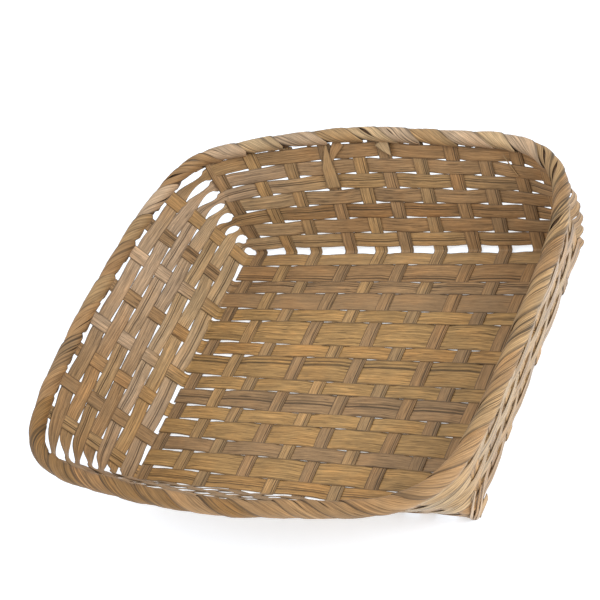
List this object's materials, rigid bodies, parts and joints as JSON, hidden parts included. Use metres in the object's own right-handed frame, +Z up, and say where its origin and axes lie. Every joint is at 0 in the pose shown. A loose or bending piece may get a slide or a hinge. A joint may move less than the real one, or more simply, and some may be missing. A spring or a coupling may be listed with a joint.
{
  "type": "woven bamboo basket",
  "caption": "Shallow rectangular tray basket in a plain weave of flat bamboo splints, with flared walls, rounded corners and a rolled splint border.",
  "frame": {"origin": "on the floor plane, under the middle of the rim", "axes": "+X along the long side of the rim, towards its lower end; +Y to the back, the side the base is set towards; +Z up"},
  "size_m": [0.3424, 0.3134, 0.0918],
  "materials": {
    "short_stake": "satin",
    "long_stake": "satin",
    "base_filler": "satin",
    "side_weaver": "satin",
    "rim_core": "satin",
    "border": "satin"
  },
  "bodies": {
    "root": {"short_stake_01": "short_stake", "short_stake_02": "short_stake", "short_stake_03": "short_stake", "short_stake_04": "short_stake", "short_stake_05": "short_stake", "short_stake_06": "short_stake", "short_stake_07": "short_stake", "short_stake_08": "short_stake", "short_stake_09": "short_stake", "short_stake_10": "short_stake", "short_stake_11": "short_stake", "long_stake_01": "long_stake", "long_stake_02": "long_stake", "long_stake_03": "long_stake", "long_stake_04": "long_stake", "long_stake_05": "long_stake", "long_stake_06": "long_stake", "long_stake_07": "long_stake", "long_stake_08": "long_stake", "base_filler_01": "base_filler", "base_filler_02": "base_filler", "base_filler_03": "base_filler", "base_filler_04": "base_filler", "base_filler_05": "base_filler", "base_filler_06": "base_filler", "base_filler_07": "base_filler", "side_weaver_01": "side_weaver", "side_weaver_02": "side_weaver", "side_weaver_03": "side_weaver", "side_weaver_04": "side_weaver", "side_weaver_05": "side_weaver", "side_weaver_06": "side_weaver", "side_weaver_07": "side_weaver", "rim_core": "rim_core", "border_back": "border", "border_right": "border", "border_front": "border", "border_left": "border"}
  },
  "joints": []
}
